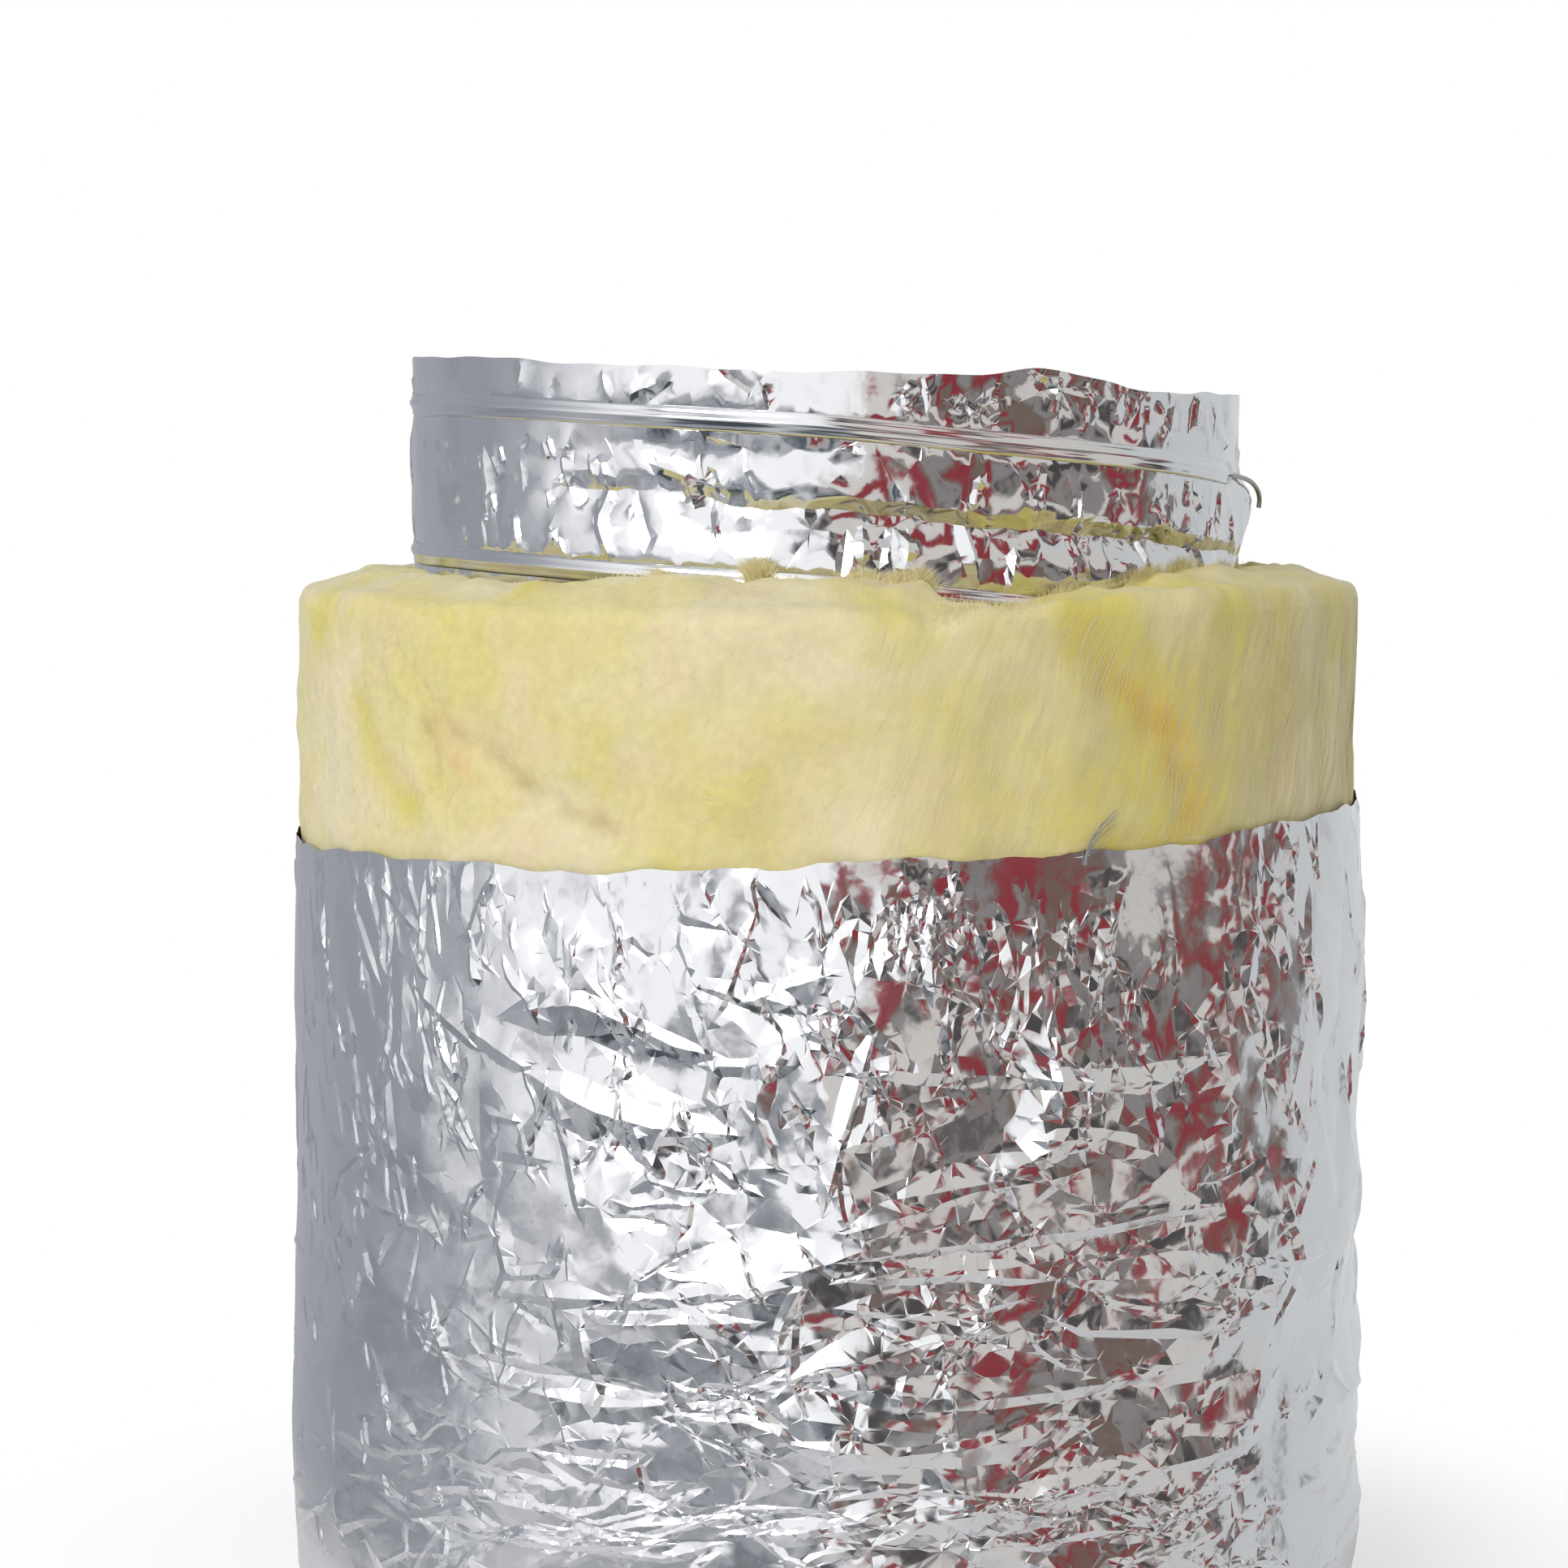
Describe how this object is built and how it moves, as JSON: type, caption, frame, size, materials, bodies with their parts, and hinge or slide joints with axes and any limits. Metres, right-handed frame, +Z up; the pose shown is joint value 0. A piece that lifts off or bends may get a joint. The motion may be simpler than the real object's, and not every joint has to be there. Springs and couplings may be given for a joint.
{
  "type": "insulated flexible air duct",
  "caption": "Cut length of insulated flexible air duct: wire-stiffened foil core, glass wool sleeve and foil jacket, each layer stepped back.",
  "frame": {"origin": "centre of the core's bore at the lower end, on the surface that the duct stands on", "axes": "+Z up along the duct's axis towards the stepped end, -Y towards the front, +X to the right, where the wire's end springs out"},
  "size_m": [0.2636, 0.2636, 0.3208],
  "materials": {
    "core_foil": "polished",
    "spring_wire": "satin",
    "glass_wool": "matte",
    "jacket_foil": "satin",
    "glass_yarn": "satin"
  },
  "bodies": {
    "core": {"film_tube": "core_foil", "wire_helix": "spring_wire", "wire_end_turn": "spring_wire", "wire_tape": "core_foil", "end_turn_tape": "core_foil"},
    "wool": {"glass_wool_blanket": "glass_wool"},
    "jacket": {"foil_jacket": "jacket_foil", "scrim_yarn": "glass_yarn"}
  },
  "joints": [
    {"name": "wool_slide", "type": "slide", "parent": "core", "child": "wool", "axis": [0, 0, 1], "range_m": [0, 0.045], "deforming": ["glass_wool_blanket"]},
    {"name": "jacket_slide", "type": "slide", "parent": "wool", "child": "jacket", "axis": [0, 0, 1], "range_m": [0, 0.045]}
  ]
}
